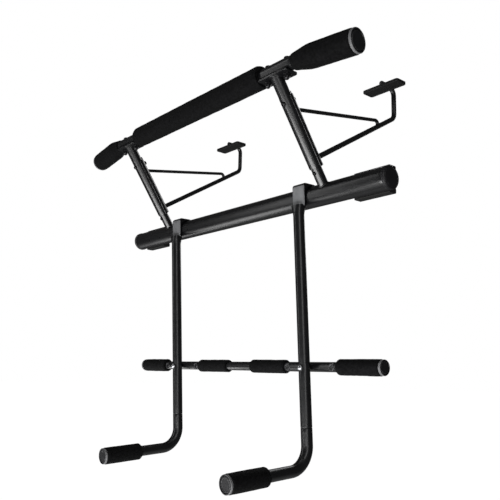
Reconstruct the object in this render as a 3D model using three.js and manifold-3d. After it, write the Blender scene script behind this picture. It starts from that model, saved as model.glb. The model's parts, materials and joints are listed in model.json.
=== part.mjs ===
// A doorway pull-up bar: a main bar that presses on the door casing, a raised top bar on two
// risers, two hook frames that reach through the doorway, and a lower frame that hangs on the
// main bar. Millimetres, +X to the right, +Y towards the door, +Z up. The origin is the middle
// of the casing's front face, at the height of the main bar's axis.

import * as THREE from 'three';
import Module from 'manifold-3d';
import { mergeVertices } from 'three/addons/utils/BufferGeometryUtils.js';

const wasm = await Module();
wasm.setup();

// ---- Driving dimensions ---------------------------------------------------------------

const gap = 0.3;                 // between two pieces that touch
const overlap = 0.5;             // between two shapes that join into one piece
const cutterLength = 80;         // cutting tools are this long, so they pass right through

const mainRadius = 24;
const mainWall = 1.8;
const mainHalfLength = 465;
const mainCapThickness = 10;
const mainCapPlug = 16;          // length of the plug inside the bar
const mainCapRim = 4;            // straight part of the cap's rim
const mainCapOverhang = 1.2;     // the cap's rim stands this far outside the bar
const padBehindBar = 10;         // pad between the main bar and the casing
const padInnerEnd = 366;
const padOuterEnd = 458;
const padFront = 12;             // the pad's section, measured from the main bar's axis
const padBottom = -25;
const padTop = 33;
const padCorner = 4;

const topForward = 152;          // top bar's axis in front of the main bar's axis
const topHeight = 238;           // and above it
const topRadius = 15;
const topWall = 1.6;
const topHalfLength = 500;
const topBendAt = 346;           // where the end sections turn back and down
const topBendRadius = 50;
const topEndBack = 16;
const topEndDrop = 8;
const middleFoamHalfLength = 254;
const middleFoamRadius = 26;
const gripStart = 351;           // distance of an outer grip's inner end from the middle
const gripRadius = 26;

const riserX = 300;
const riserRadius = 14;
const riserWall = 1.6;
const riserStart = 62;           // distances along the riser's axis, from the main bar's axis
const stubRadius = 12;
const stubWall = 2;
const stubOverlap = 45;          // length of the stub inside the riser
const plateLength = 88;
const plateDepth = 38;
const plateThickness = 4;
const plateCorner = 6;
const plateBoltOffset = 29;

const channelThickness = 3.2;
const channelHalfAngle = 100;    // degrees of wrap each side of the riser's back
const channelEnd = 226;
const channelBoltAt = 213;
const stopScrewAt = 53;

const rodRadius = 6;
const braceRadius = 4.2;
const rodStart = 80;
const braceStart = 195;
const rodRootBack = 8;           // rods start this far behind the riser's axis, inside the channel
const braceLanding = 0.78;       // fraction of the lower rod's slope where the brace lands
const braceElbowBack = -7;       // the brace's elbow, from its landing
const braceElbowUp = 13;
const braceBendRadius = 8;
const hookBendRadius = 20;
const hookReach = 240;           // hook's upright behind the main bar's axis
const hookBendHeight = 240;
const hookTopHeight = 318;
const hookTipReach = 190;        // tip of the hook, resting on the far trim
const restPlateWidth = 100;
const restPlateDepth = 30;
const restPlateReach = 202;      // middle of the rest plate
const restPlateThickness = 3;
const restPlateCorner = 4;
const bootWall = 3;
const bootFloor = 4;
const bootCorner = 6;

const hangerX = 240;
const strapWidth = 37;
const strapThickness = 5;
const strapClearance = 0.4;
const strapDrop = 21.5;          // lower end of the strap's front leg, below the main bar's axis
const strapCorner = 8;
const strapCrown = 1;            // the flat top stands this far over the round back
const strapLip = 4;              // the rear leg's end, below the main bar's axis
const strapFootThickness = 3.5;
const hangerRadius = 12.5;
const hangerWall = 1.6;
const seamDrop = 496;
const spigotBuried = 18;         // the spigot's length inside the handle tube
const spigotRaised = 32;         // and inside the hanger tube
const spigotWall = 1.8;
const handleDrop = 579;
const handleBendRadius = 48;
const handleReach = 244;
const handleFoamLength = 100;
const handleFoamRadius = 20;

const crossRadius = 10.5;
const crossWall = 1.5;
const crossDrop = 371;
const crossHalfLength = 431;
const outerFoam = { radius: 17, near: 320, far: 430 };      // rests on the casing
const innerFoam = { radius: 15.5, near: 46, far: 162 };
const eyeletOffset = 66;         // rimmed holes either side of each hanger tube
const eyeletRadius = 4.5;
const eyeletRimRadius = 7.8;
const eyeletRimDepth = 6;
const eyeletRimProud = 1;

// Ends of the foam sleeves: the inner end narrows by a depth over a length, and the outer end
// is eased.
const middleFoamEnds = { depth: 4, length: 4, ease: 4 };
const gripEnds = { depth: 8, length: 42, ease: 2 };
const handleFoamEnds = { depth: 5, length: 5, ease: 1.5 };
const crossFoamEnds = { depth: 2.5, length: 2.5, ease: 2 };

// Fasteners: radius of the shank, its hole and its head, and the head's height.
const channelBolt = { shank: 3, hole: 3.3, head: 5.5, headHeight: 4 };
const stopScrew = { shank: 2.5, hole: 2.8, head: 4.5, headHeight: 3.5 };
const saddleBolt = { shank: 3, hole: 3.4, head: 7, headHeight: 4 };
const crossBolt = { shank: 3.9, hole: 4.3, head: 6.5, headHeight: 5 };
const channelNut = { radius: 6, height: 6, sunk: 1 };
const saddleNut = { radius: 8, skirt: 6, height: 13, boreDepth: 8 };
const crossNut = { radius: 7.5, height: 6 };
const boltTail = 5;              // a bolt's length past its nut's seat

// End caps of the foam grips.
const capPlug = 14;
const capThickness = 5;
const capDish = 1.5;
const capDishShare = 0.8;        // the dish's radius, as a share of the rim's
const capEase = 1;
const capInset = 1;              // the rim is this much smaller than its foam

// ---- Derived dimensions ---------------------------------------------------------------

const casingBehindBar = mainRadius + padBehindBar;
const plateTop = topHeight - topRadius - gap;
const plateBottom = plateTop - plateThickness;
const riserDirection = new THREE.Vector3(0, -topForward, plateBottom).normalize();
const riserBack = new THREE.Vector3(0, riserDirection.z, -riserDirection.y);
const riserLength = Math.hypot(topForward, plateBottom);
const channelInner = riserRadius + gap;
const channelOuter = channelInner + channelThickness;
const hangerForward = mainRadius + strapClearance + strapThickness;
const crossForward = hangerForward - hangerRadius - gap - crossRadius;
// The lower frame leans until its outer foams rest on the casing.
const lean = Math.asin((casingBehindBar - outerFoam.radius) / Math.hypot(crossDrop, crossForward))
    + Math.atan2(crossForward, crossDrop);

// Sides of the round pieces, by size.
const bigSides = 24;
const tubeSides = 16;
const rodSides = 10;
const screwSides = 8;

// ---- Materials ------------------------------------------------------------------------

function material(color, roughness, metalness) {
    return new THREE.MeshStandardMaterial({ color, roughness, metalness });
}

const blackSteel = material(0x1b1c1f, 0.42, 0.55);
const strapSteel = material(0x6d6f72, 0.45, 0.55);
const foam = material(0x0e0e0f, 0.95, 0);
const blackPlastic = material(0x1c1c1e, 0.55, 0);
const rubber = material(0x141414, 0.85, 0);
const brightZinc = material(0xc9cccf, 0.25, 1);
const blackScrew = material(0x101012, 0.35, 0.7);

// ---- Shapes ---------------------------------------------------------------------------

// A turned solid that stands on the origin along +Y. The profile holds [radius, height] pairs.
function turned(profile, sides) {
    const points = profile.map(([radius, height]) => new THREE.Vector2(radius, height));
    return new THREE.LatheGeometry(points, sides);
}

function rodShape(radius, length, sides) {
    return turned([[0, 0], [radius, 0], [radius, length], [0, length]], sides);
}

function pipeShape(outer, inner, length, sides) {
    return turned([[inner, 0], [outer, 0], [outer, length], [inner, length], [inner, 0]], sides);
}

// A foam sleeve with a tapered inner end and a slightly rounded outer end.
function sleeveShape(outer, bore, length, ends) {
    return turned([
        [bore, 0], [outer - ends.depth, 0], [outer, ends.length],
        [outer, length - ends.ease], [outer - ends.ease, length], [bore, length], [bore, 0],
    ], tubeSides);
}

// An end cap: a plug that goes into the tube, a rim, and a shallow dish inside the rim.
function capShape(rimRadius, plugRadius, sides) {
    const dishRadius = rimRadius * capDishShare;
    const top = capPlug + capThickness;
    return turned([
        [0, 0], [plugRadius, 0], [plugRadius, capPlug], [rimRadius, capPlug],
        [rimRadius, top - capEase], [rimRadius - capEase, top], [dishRadius + capEase, top],
        [dishRadius, top - capDish], [0, top - capDish],
    ], sides);
}

// A dome-headed bolt: the head's flat underside is at height 0 and the shank runs up +Y.
function domeBoltShape(bolt, length) {
    const profile = [[0, -bolt.headHeight]];
    for (const degrees of [30, 60, 90]) {
        const angle = THREE.MathUtils.degToRad(degrees);
        profile.push([bolt.head * Math.sin(angle), -bolt.headHeight * Math.cos(angle)]);
    }
    profile.push([bolt.shank, 0], [bolt.shank, length], [0, length]);
    return turned(profile, screwSides);
}

// A cap nut on +Y: a skirt under a dome, with a blind hole for the bolt.
function capNutShape(nut, boreRadius) {
    const profile = [[boreRadius, 0], [nut.radius, 0], [nut.radius, nut.skirt]];
    for (const degrees of [30, 60, 90]) {
        const angle = THREE.MathUtils.degToRad(degrees);
        const rise = (nut.height - nut.skirt) * Math.sin(angle);
        profile.push([nut.radius * Math.cos(angle), nut.skirt + rise]);
    }
    profile[profile.length - 1][0] = 0;
    profile.push([0, nut.boreDepth], [boreRadius, nut.boreDepth], [boreRadius, 0]);
    return turned(profile, screwSides);
}

// Turns a shape's +Y axis to a direction and moves its origin to a point.
function aimed(geometry, start, direction) {
    const turn = new THREE.Quaternion().setFromUnitVectors(
        new THREE.Vector3(0, 1, 0), direction.clone().normalize());
    geometry.applyQuaternion(turn);
    geometry.translate(start.x, start.y, start.z);
    return geometry;
}

function outline(points) {
    return new THREE.Shape(points.map(([a, b]) => new THREE.Vector2(a, b)));
}

// Extrudes an outline drawn in (Y, Z) along X, centred on X = 0.
function alongX(shape, width, curveSegments = 6) {
    const geometry = new THREE.ExtrudeGeometry(
        shape, { depth: width, bevelEnabled: false, curveSegments });
    geometry.rotateY(Math.PI / 2);
    geometry.rotateX(Math.PI / 2);
    geometry.translate(-width / 2, 0, 0);
    return geometry;
}

// Extrudes an outline drawn in (X, Y) upwards from a height.
function upwards(shape, bottom, thickness, curveSegments = 4) {
    const geometry = new THREE.ExtrudeGeometry(
        shape, { depth: thickness, bevelEnabled: false, curveSegments });
    geometry.translate(0, 0, bottom);
    return geometry;
}

function roundedRectangle(width, depth, radius) {
    const x = width / 2 - radius;
    const y = depth / 2 - radius;
    const shape = new THREE.Shape();
    shape.absarc(x, y, radius, 0, Math.PI / 2);
    shape.absarc(-x, y, radius, Math.PI / 2, Math.PI);
    shape.absarc(-x, -y, radius, Math.PI, Math.PI * 1.5);
    shape.absarc(x, -y, radius, Math.PI * 1.5, Math.PI * 2);
    shape.closePath();
    return shape;
}

// Straight runs joined by round bends, with one station at each end of a run and a few
// stations round each bend.
class BentPath extends THREE.Curve {
    constructor(corners, bendRadius, bendSteps) {
        super();
        this.stations = [];
        this.directions = [];
        const last = corners.length - 1;
        const heading = (i) => corners[i + 1].clone().sub(corners[i]).normalize();
        this.addStation(corners[0], heading(0));
        for (let i = 1; i < last; i += 1) {
            this.addBend(corners[i], heading(i - 1), heading(i), bendRadius, bendSteps);
        }
        this.addStation(corners[last], heading(last - 1));
    }

    addStation(point, direction) {
        this.stations.push(point.clone());
        this.directions.push(direction.clone());
    }

    addBend(corner, before, after, radius, steps) {
        const turn = before.angleTo(after);
        const inward = after.clone().addScaledVector(before, -after.dot(before)).normalize();
        const start = corner.clone().addScaledVector(before, -radius * Math.tan(turn / 2));
        const centre = start.clone().addScaledVector(inward, radius);
        for (let k = 0; k <= steps; k += 1) {
            const angle = turn * k / steps;
            const point = centre.clone()
                .addScaledVector(inward, -radius * Math.cos(angle))
                .addScaledVector(before, radius * Math.sin(angle));
            const direction = before.clone().multiplyScalar(Math.cos(angle))
                .addScaledVector(inward, Math.sin(angle));
            this.addStation(point, direction);
        }
    }

    get steps() {
        return this.stations.length - 1;
    }

    getPointAt(u) {
        return this.stations[Math.round(u * this.steps)].clone();
    }

    getTangentAt(u) {
        return this.directions[Math.round(u * this.steps)].clone();
    }
}

// A round bar or tube along a bent path. An inner radius of 0 makes it solid.
function bentTube(corners, bendRadius, bendSteps, outer, inner, sides) {
    const path = new BentPath(corners, bendRadius, bendSteps);
    const section = new THREE.Shape().absarc(0, 0, outer, 0, Math.PI * 2);
    if (inner > 0) {
        section.holes.push(new THREE.Path().absarc(0, 0, inner, 0, Math.PI * 2));
    }
    return new THREE.ExtrudeGeometry(
        section, { steps: path.steps, extrudePath: path, curveSegments: sides / 2 });
}

// ---- Cutting and joining --------------------------------------------------------------

function solidOf(geometry) {
    const bare = geometry.clone();
    bare.deleteAttribute('normal');
    bare.deleteAttribute('uv');
    const merged = mergeVertices(bare, 1e-4);
    const corners = merged.index.array;
    const kept = [];
    for (let i = 0; i < corners.length; i += 3) {
        const [a, b, c] = [corners[i], corners[i + 1], corners[i + 2]];
        if (a !== b && b !== c && c !== a) {
            kept.push(a, b, c);
        }
    }
    return new wasm.Manifold(new wasm.Mesh({
        numProp: 3,
        vertProperties: new Float32Array(merged.attributes.position.array),
        triVerts: new Uint32Array(kept),
    }));
}

function geometryOf(solid) {
    const mesh = solid.getMesh();
    const geometry = new THREE.BufferGeometry();
    const positions = new Float32Array(mesh.vertProperties);
    geometry.setAttribute('position', new THREE.BufferAttribute(positions, 3));
    geometry.setIndex(new THREE.BufferAttribute(new Uint32Array(mesh.triVerts), 1));
    geometry.computeVertexNormals();
    return geometry;
}

function cut(geometry, ...tools) {
    let solid = solidOf(geometry);
    for (const tool of tools) {
        solid = solid.subtract(solidOf(tool));
    }
    return geometryOf(solid);
}

function hexNut(radius, thickness, boreRadius) {
    const bore = rodShape(boreRadius, thickness + 2, screwSides);
    bore.translate(0, -1, 0);
    return cut(rodShape(radius, thickness, 6), bore);
}

function joined(...geometries) {
    const [first, ...others] = geometries.map(solidOf);
    return geometryOf(others.reduce((sum, solid) => sum.add(solid), first));
}

// ---- Scene graph ----------------------------------------------------------------------

const group = new THREE.Group();
const fixedFrame = new THREE.Group();
const swingFrame = new THREE.Group();
fixedFrame.position.y = -casingBehindBar;
swingFrame.position.y = -casingBehindBar;
swingFrame.rotation.x = lean;
group.add(fixedFrame, swingFrame);

function place(parent, name, geometry, finish, x = 0) {
    const mesh = new THREE.Mesh(geometry, finish);
    mesh.name = name;
    mesh.position.x = x;
    parent.add(mesh);
    return mesh;
}

const point = (x, y, z) => new THREE.Vector3(x, y, z);
const alongRiser = (distance) => riserDirection.clone().multiplyScalar(distance);
const offRiser = (distance, back) => alongRiser(distance).addScaledVector(riserBack, back);
const sideSigns = { left: -1, right: 1 };

// Main bar ------------------------------------------------------------------------------

const mainBar = pipeShape(mainRadius, mainRadius - mainWall, mainHalfLength * 2, bigSides);
place(fixedFrame, 'main_bar', aimed(mainBar, point(-mainHalfLength, 0, 0), point(1, 0, 0)),
    blackSteel);

function mainCap() {
    const rim = mainRadius + mainCapOverhang;
    const plugRadius = mainRadius - mainWall - gap;
    const rimTop = mainCapPlug + mainCapRim;
    const profile = [[0, 0], [plugRadius, 0], [plugRadius, mainCapPlug], [rim, mainCapPlug],
        [rim, rimTop]];
    for (const degrees of [30, 60, 90]) {
        const angle = THREE.MathUtils.degToRad(degrees);
        const height = rimTop + (mainCapThickness - mainCapRim) * Math.sin(angle);
        profile.push([rim * Math.cos(angle) ** 0.5, height]);
    }
    profile[profile.length - 1][0] = 0;
    return turned(profile, bigSides);
}

// The pad's back is flat on the casing and its front hugs the back of the main bar.
function casingPad() {
    const back = casingBehindBar;
    const block = outline([
        [padFront, padBottom], [back - padCorner, padBottom], [back, padBottom + padCorner],
        [back, padTop - padCorner], [back - padCorner, padTop], [padFront, padTop],
    ]);
    const length = padOuterEnd - padInnerEnd;
    const bar = aimed(rodShape(mainRadius + gap, length + 2, bigSides),
        point(-length / 2 - 1, 0, 0), point(1, 0, 0));
    return cut(alongX(block, length), bar);
}

// Risers, saddle plates and hook frames -------------------------------------------------

// A hole's tool, from front to back through the riser.
function throughRiser(radius, distance) {
    const reach = channelOuter + channelNut.height + 2;
    return aimed(rodShape(radius, 2 * reach, screwSides), offRiser(distance, -reach), riserBack);
}

function riserStub() {
    const tube = aimed(pipeShape(stubRadius, stubRadius - stubWall, riserStart + stubOverlap, tubeSides),
        point(0, 0, 0), riserDirection);
    const bar = aimed(rodShape(mainRadius + gap, cutterLength, bigSides),
        point(-cutterLength / 2, 0, 0), point(1, 0, 0));
    const screwHole = throughRiser(stopScrew.hole, stopScrewAt);
    return cut(tube, bar, screwHole);
}

function riserTube() {
    const tube = aimed(
        pipeShape(riserRadius, riserRadius - riserWall, riserLength + riserRadius * 2 - riserStart,
            tubeSides),
        alongRiser(riserStart), riserDirection);
    const abovePlate = upwards(roundedRectangle(cutterLength, topForward * 3, plateCorner),
        plateBottom - gap, cutterLength);
    return cut(tube, abovePlate, throughRiser(channelBolt.hole, channelBoltAt));
}

// A hole's tool, upwards through the saddle plate and the top bar.
function saddleHole(x) {
    return aimed(rodShape(saddleBolt.hole, cutterLength, screwSides),
        point(x, -topForward, plateBottom - topRadius), point(0, 0, 1));
}

function saddlePlate() {
    const plate = upwards(roundedRectangle(plateLength, plateDepth, plateCorner),
        plateBottom, plateThickness);
    plate.translate(0, -topForward, 0);
    return cut(plate, saddleHole(-plateBoltOffset), saddleHole(plateBoltOffset));
}

// A half sleeve that wraps the riser's back, with a welded nut for the bolt.
function hookChannel() {
    const wrap = THREE.MathUtils.degToRad(channelHalfAngle);
    const section = new THREE.Shape();
    section.absarc(0, 0, channelOuter, -wrap, wrap, false);
    section.absarc(0, 0, channelInner, wrap, -wrap, true);
    section.closePath();
    const length = channelEnd - riserStart;
    const sleeve = new THREE.ExtrudeGeometry(
        section, { depth: length, bevelEnabled: false, curveSegments: 8 });
    const axes = new THREE.Matrix4().makeBasis(
        riserBack, riserDirection.clone().cross(riserBack), riserDirection);
    sleeve.applyMatrix4(axes);
    const start = alongRiser(riserStart);
    sleeve.translate(start.x, start.y, start.z);
    const nut = aimed(rodShape(channelNut.radius, channelNut.height, 6),
        offRiser(channelBoltAt, channelOuter - channelNut.sunk), riserBack);
    return cut(joined(sleeve, nut), throughRiser(channelBolt.hole, channelBoltAt));
}

const channelEnvelope = () => aimed(rodShape(channelOuter + gap, riserLength, bigSides),
    point(0, 0, 0), riserDirection);

const rodCorners = [
    offRiser(rodStart, rodRootBack),
    point(0, hookReach, hookBendHeight),
    point(0, hookReach, hookTopHeight),
    point(0, hookTipReach, hookTopHeight),
];

function hookRod() {
    return cut(bentTube(rodCorners, hookBendRadius, 4, rodRadius, 0, rodSides), channelEnvelope());
}

// The brace runs back from the channel and turns down onto the top of the lower rod.
function hookBrace() {
    const landing = rodCorners[0].clone().lerp(rodCorners[1], braceLanding);
    const elbow = point(0, landing.y + braceElbowBack, landing.z + braceElbowUp);
    const corners = [offRiser(braceStart, rodRootBack), elbow, landing];
    const brace = bentTube(corners, braceBendRadius, 3, braceRadius, 0, rodSides);
    const rodSpan = rodCorners[1].clone().sub(rodCorners[0]);
    const rodEnvelope = aimed(rodShape(rodRadius + gap, rodSpan.length(), tubeSides),
        rodCorners[0], rodSpan);
    return cut(brace, channelEnvelope(), rodEnvelope);
}

const restPlateTop = hookTopHeight - rodRadius - gap;
const restPlateBottom = restPlateTop - restPlateThickness;

function restPlate() {
    const plate = upwards(roundedRectangle(restPlateWidth, restPlateDepth, restPlateCorner),
        restPlateBottom, restPlateThickness);
    plate.translate(0, restPlateReach, 0);
    return plate;
}

// A rubber tray under the rest plate, open at the top.
function restBoot() {
    const width = restPlateWidth + 2 * (bootWall + gap);
    const depth = restPlateDepth + 2 * (bootWall + gap);
    const pocketFloor = restPlateBottom - gap;
    const bottom = pocketFloor - bootFloor;
    const tray = upwards(roundedRectangle(width, depth, bootCorner), bottom, restPlateTop - bottom);
    const pocket = upwards(
        roundedRectangle(width - 2 * bootWall, depth - 2 * bootWall, restPlateCorner + gap),
        pocketFloor, cutterLength);
    const boot = cut(tray, pocket);
    boot.translate(0, restPlateReach, 0);
    return boot;
}

for (const [side, sign] of Object.entries(sideSigns)) {
    const x = sign * riserX;
    const capStart = sign * (mainHalfLength - mainCapPlug + gap);
    place(fixedFrame, `main_bar_end_cap_${side}`,
        aimed(mainCap(), point(capStart, 0, 0), point(sign, 0, 0)),
        blackPlastic);
    place(fixedFrame, `casing_pad_${side}`, casingPad(), rubber,
        sign * (padInnerEnd + padOuterEnd) / 2);
    place(fixedFrame, `riser_stub_${side}`, riserStub(), blackSteel, x);
    place(fixedFrame, `riser_tube_${side}`, riserTube(), blackSteel, x);
    place(fixedFrame, `saddle_plate_${side}`, saddlePlate(), blackSteel, x);
    place(fixedFrame, `hook_channel_${side}`, hookChannel(), blackSteel, x);
    place(fixedFrame, `hook_rod_${side}`, hookRod(), blackSteel, x);
    place(fixedFrame, `hook_brace_${side}`, hookBrace(), blackSteel, x);
    place(fixedFrame, `hook_rest_plate_${side}`, restPlate(), blackSteel, x);
    place(fixedFrame, `hook_boot_${side}`, restBoot(), rubber, x);

    const clampBolt = domeBoltShape(channelBolt, riserRadius + channelOuter + boltTail);
    place(fixedFrame, `channel_bolt_${side}`,
        aimed(clampBolt, offRiser(channelBoltAt, -riserRadius - gap), riserBack),
        blackScrew, x);
    place(fixedFrame, `stop_screw_${side}`,
        aimed(domeBoltShape(stopScrew, stubRadius * 2), offRiser(stopScrewAt, -stubRadius - gap),
            riserBack),
        blackScrew, x);
}

// Top bar -------------------------------------------------------------------------------

const topEnd = (sign) => point(sign * topHalfLength, -topForward + topEndBack,
    topHeight - topEndDrop);
const topBend = (sign) => point(sign * topBendAt, -topForward, topHeight);

function topBar() {
    const corners = [topEnd(-1), topBend(-1), topBend(1), topEnd(1)];
    const tube = bentTube(corners, topBendRadius, 2, topRadius, topRadius - topWall, tubeSides);
    const holes = [];
    for (const x of [-riserX, riserX]) {
        holes.push(saddleHole(x - plateBoltOffset), saddleHole(x + plateBoltOffset));
    }
    return cut(tube, ...holes);
}

place(fixedFrame, 'top_bar', topBar(), blackSteel);
place(fixedFrame, 'top_foam_middle',
    aimed(sleeveShape(middleFoamRadius, topRadius + gap, middleFoamHalfLength * 2, middleFoamEnds),
        point(-middleFoamHalfLength, -topForward, topHeight), point(1, 0, 0)),
    foam);

for (const [side, sign] of Object.entries(sideSigns)) {
    const outward = topEnd(sign).sub(topBend(sign)).normalize();
    const alongEnd = (distance) => topBend(sign).addScaledVector(outward, distance);
    const endLength = topEnd(sign).distanceTo(topBend(sign));
    const start = gripStart - topBendAt;
    place(fixedFrame, `top_grip_${side}`,
        aimed(sleeveShape(gripRadius, topRadius + gap, endLength - start - gap, gripEnds),
            alongEnd(start), outward),
        foam);
    place(fixedFrame, `top_end_cap_${side}`,
        aimed(capShape(gripRadius - capInset, topRadius - topWall - gap, tubeSides),
            alongEnd(endLength - capPlug + gap), outward),
        blackPlastic);

    for (const [part, direction] of [['inner', -1], ['outer', 1]]) {
        const x = sign * (riserX + direction * plateBoltOffset);
        const bolt = domeBoltShape(saddleBolt, topRadius * 2 + plateThickness + boltTail);
        place(fixedFrame, `saddle_bolt_${part}_${side}`,
            aimed(bolt, point(x, -topForward, topHeight + topRadius + gap), point(0, 0, -1)),
            blackScrew);
        place(fixedFrame, `saddle_nut_${part}_${side}`,
            aimed(capNutShape(saddleNut, saddleBolt.hole),
                point(x, -topForward, plateBottom - gap), point(0, 0, -1)),
            blackScrew);
    }
}

// Lower frame ---------------------------------------------------------------------------

// The strap hooks over the main bar. Its front leg ends in a foot that closes the tube's top.
function hangerStrap() {
    const inner = mainRadius + strapClearance;
    const outer = inner + strapThickness;
    const face = -outer;
    const top = outer + strapCrown;
    const shape = new THREE.Shape();
    shape.moveTo(-inner, -strapDrop);
    shape.lineTo(-inner, 0);
    shape.absarc(0, 0, inner, Math.PI, 0, true);
    shape.lineTo(inner, -strapLip);
    shape.lineTo(outer, -strapLip);
    shape.absarc(0, 0, outer, 0, Math.PI / 2, false);
    shape.lineTo(face + strapCorner, top);
    shape.absarc(face + strapCorner, top - strapCorner, strapCorner, Math.PI / 2, Math.PI, false);
    shape.lineTo(face, -strapDrop);
    shape.closePath();
    const foot = aimed(rodShape(hangerRadius, strapFootThickness, tubeSides),
        point(0, -hangerForward, -strapDrop), point(0, 0, 1));
    return joined(alongX(shape, strapWidth, 10), foot);
}

const hangerTop = -strapDrop - gap;

const forward = point(0, -1, 0);
const backward = point(0, 1, 0);

const crossBoltHole = (x) => aimed(rodShape(crossBolt.hole, cutterLength, screwSides),
    point(x, -hangerForward - cutterLength / 2, -crossDrop), backward);

function hangerTube() {
    const length = seamDrop + hangerTop;
    const tube = aimed(pipeShape(hangerRadius, hangerRadius - hangerWall, length, tubeSides),
        point(0, -hangerForward, -seamDrop), point(0, 0, 1));
    return cut(tube, crossBoltHole(0));
}

// The curved handle tube, with a spigot that goes up inside the hanger tube.
function handleTube() {
    const top = -seamDrop - gap;
    const inner = hangerRadius - hangerWall;
    const corners = [
        point(0, -hangerForward, top),
        point(0, -hangerForward, -handleDrop),
        point(0, -handleReach, -handleDrop),
    ];
    const bend = bentTube(corners, handleBendRadius, 6, hangerRadius, inner, tubeSides);
    const bore = inner - spigotWall;
    const spigotTop = spigotBuried + spigotRaised;
    const spigot = turned([
        [bore, 0], [inner + overlap, 0], [inner + overlap, spigotBuried], [inner - gap, spigotBuried],
        [inner - gap, spigotTop], [bore, spigotTop], [bore, 0],
    ], tubeSides);
    return joined(bend, aimed(spigot, point(0, -hangerForward, top - spigotBuried), point(0, 0, 1)));
}

// The cross bar, with rimmed holes through it either side of each hanger tube.
function crossBar() {
    const tube = aimed(
        pipeShape(crossRadius, crossRadius - crossWall, crossHalfLength * 2, tubeSides),
        point(-crossHalfLength, -crossForward, -crossDrop), point(1, 0, 0));
    const front = -crossForward - crossRadius - eyeletRimProud;
    const rims = [];
    const holes = [];
    for (const hanger of [-hangerX, hangerX]) {
        holes.push(crossBoltHole(hanger));
        for (const x of [hanger - eyeletOffset, hanger + eyeletOffset]) {
            const start = point(x, front, -crossDrop);
            const ahead = point(x, front - eyeletRimDepth, -crossDrop);
            rims.push(aimed(rodShape(eyeletRimRadius, eyeletRimDepth, rodSides), start, backward));
            holes.push(aimed(rodShape(eyeletRadius, cutterLength, rodSides), ahead, backward));
        }
    }
    return cut(joined(tube, ...rims), ...holes);
}

place(swingFrame, 'cross_bar', crossBar(), blackSteel);

for (const [side, sign] of Object.entries(sideSigns)) {
    const x = sign * hangerX;
    place(swingFrame, `hanger_strap_${side}`, hangerStrap(), strapSteel, x);
    place(swingFrame, `hanger_tube_${side}`, hangerTube(), blackSteel, x);
    place(swingFrame, `handle_tube_${side}`, handleTube(), blackSteel, x);

    const foamEnd = handleReach - gap;
    place(swingFrame, `handle_foam_${side}`,
        aimed(sleeveShape(handleFoamRadius, hangerRadius + gap, handleFoamLength, handleFoamEnds),
            point(0, -foamEnd + handleFoamLength, -handleDrop), forward),
        foam, x);
    place(swingFrame, `handle_end_cap_${side}`,
        aimed(capShape(handleFoamRadius - capInset, hangerRadius - hangerWall - gap, tubeSides),
            point(0, -handleReach + capPlug - gap, -handleDrop), forward),
        blackPlastic, x);

    const outward = point(sign, 0, 0);
    for (const [name, { radius, near, far }] of Object.entries({ outer: outerFoam, inner: innerFoam })) {
        place(swingFrame, `cross_foam_${name}_${side}`,
            aimed(sleeveShape(radius, crossRadius + gap, far - near, crossFoamEnds),
                point(sign * near, -crossForward, -crossDrop), outward),
            foam);
    }
    place(swingFrame, `cross_end_cap_${side}`,
        aimed(capShape(outerFoam.radius - capInset, crossRadius - crossWall - gap, rodSides),
            point(sign * (crossHalfLength - capPlug + gap), -crossForward, -crossDrop), outward),
        blackPlastic);

    const stack = 2 * hangerRadius + 2 * crossRadius + 2 * gap;
    place(swingFrame, `cross_bolt_${side}`,
        aimed(domeBoltShape(crossBolt, stack + crossNut.height + 3),
            point(0, -hangerForward - hangerRadius - gap, -crossDrop), backward),
        brightZinc, x);
    place(swingFrame, `cross_nut_${side}`,
        aimed(hexNut(crossNut.radius, crossNut.height, crossBolt.hole),
            point(0, -crossForward + crossRadius + gap, -crossDrop), backward),
        brightZinc, x);
}

export default group;
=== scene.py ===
"""The looks of a doorway pull-up bar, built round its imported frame.

Metres, with +Z up and +Y into the doorway.
"""

import json
from math import acos, atan2, cos, exp, pi, radians, sin, sqrt, tan

import bmesh
import bpy
import numpy as np
from mathutils import Matrix, Vector, noise


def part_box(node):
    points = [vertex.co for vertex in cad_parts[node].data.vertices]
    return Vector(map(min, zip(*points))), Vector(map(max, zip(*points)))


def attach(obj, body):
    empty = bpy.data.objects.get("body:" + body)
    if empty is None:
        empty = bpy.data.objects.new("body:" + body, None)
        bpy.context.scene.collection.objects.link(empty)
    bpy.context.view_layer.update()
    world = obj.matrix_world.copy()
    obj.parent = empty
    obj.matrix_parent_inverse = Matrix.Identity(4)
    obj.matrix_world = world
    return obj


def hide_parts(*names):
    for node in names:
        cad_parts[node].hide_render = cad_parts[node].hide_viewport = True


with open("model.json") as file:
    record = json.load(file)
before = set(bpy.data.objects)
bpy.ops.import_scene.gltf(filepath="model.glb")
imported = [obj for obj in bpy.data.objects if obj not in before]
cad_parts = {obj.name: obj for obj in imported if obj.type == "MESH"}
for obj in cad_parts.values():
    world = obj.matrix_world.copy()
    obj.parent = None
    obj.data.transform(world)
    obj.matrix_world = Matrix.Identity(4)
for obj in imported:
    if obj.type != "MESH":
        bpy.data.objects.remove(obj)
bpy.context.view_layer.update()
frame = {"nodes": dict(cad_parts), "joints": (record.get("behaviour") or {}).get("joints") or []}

# ---- Driving dimensions ----------------------------------

mm = 0.001
gap = 0.3 * mm                # between CAD solids that touch
weld_size = 1.5 * mm          # radius of a weld bead
ripple_pitch = 2.2 * mm       # distance from one ripple of a weld to the next
weld_ripple = 0.05            # height of a ripple, as a share of the bead's radius
bend_spacing = 3 * mm         # distance between the rings of a bent tube
thread_pitch = 1.0 * mm
thread_depth = 0.55 * mm
sharp_edge = radians(32)      # faces that meet at more than this keep a hard edge
tube_wall = 2 * mm            # of the tubes that end caps and spigots go into
riser_wall = 1.8 * mm

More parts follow.
